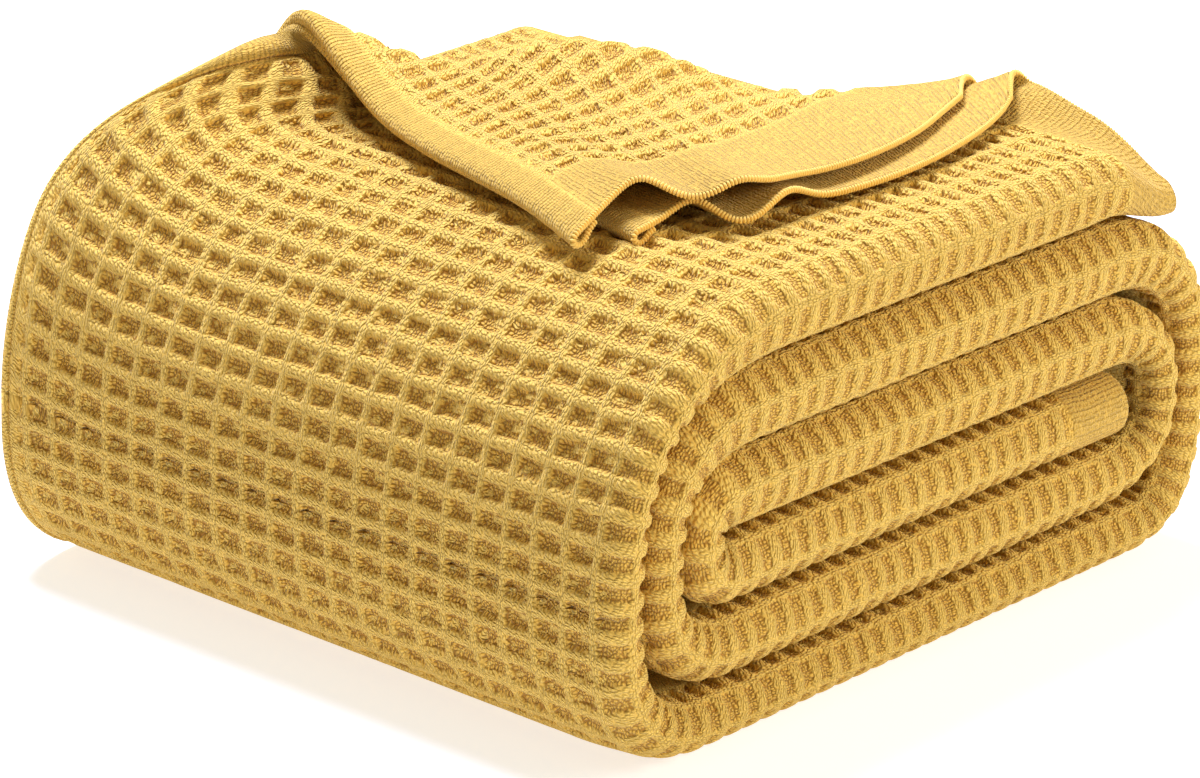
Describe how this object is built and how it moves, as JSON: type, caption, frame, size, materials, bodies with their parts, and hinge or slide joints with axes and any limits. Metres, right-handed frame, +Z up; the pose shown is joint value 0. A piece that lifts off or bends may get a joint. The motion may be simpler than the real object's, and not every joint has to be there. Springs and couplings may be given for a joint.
{
  "type": "rolled_waffle_blanket",
  "caption": "Waffle weave cotton blanket, folded lengthwise and rolled up flat, with the far corner of its free end turned back over the top",
  "frame": {"origin": "On the surface that the blanket lies on, under the middle of its box.", "axes": "+Z is up. +X runs along the rolled end, towards the free end. +Y runs along the axis of the roll, from the end that shows the folds to the end with the side hems."},
  "size_m": [0.3058, 0.276, 0.1845],
  "materials": {
    "mustard_cotton": "matt mustard yellow cotton in a coarse waffle weave"
  },
  "bodies": {
    "root": {"blanket": "mustard_cotton"}
  },
  "joints": []
}
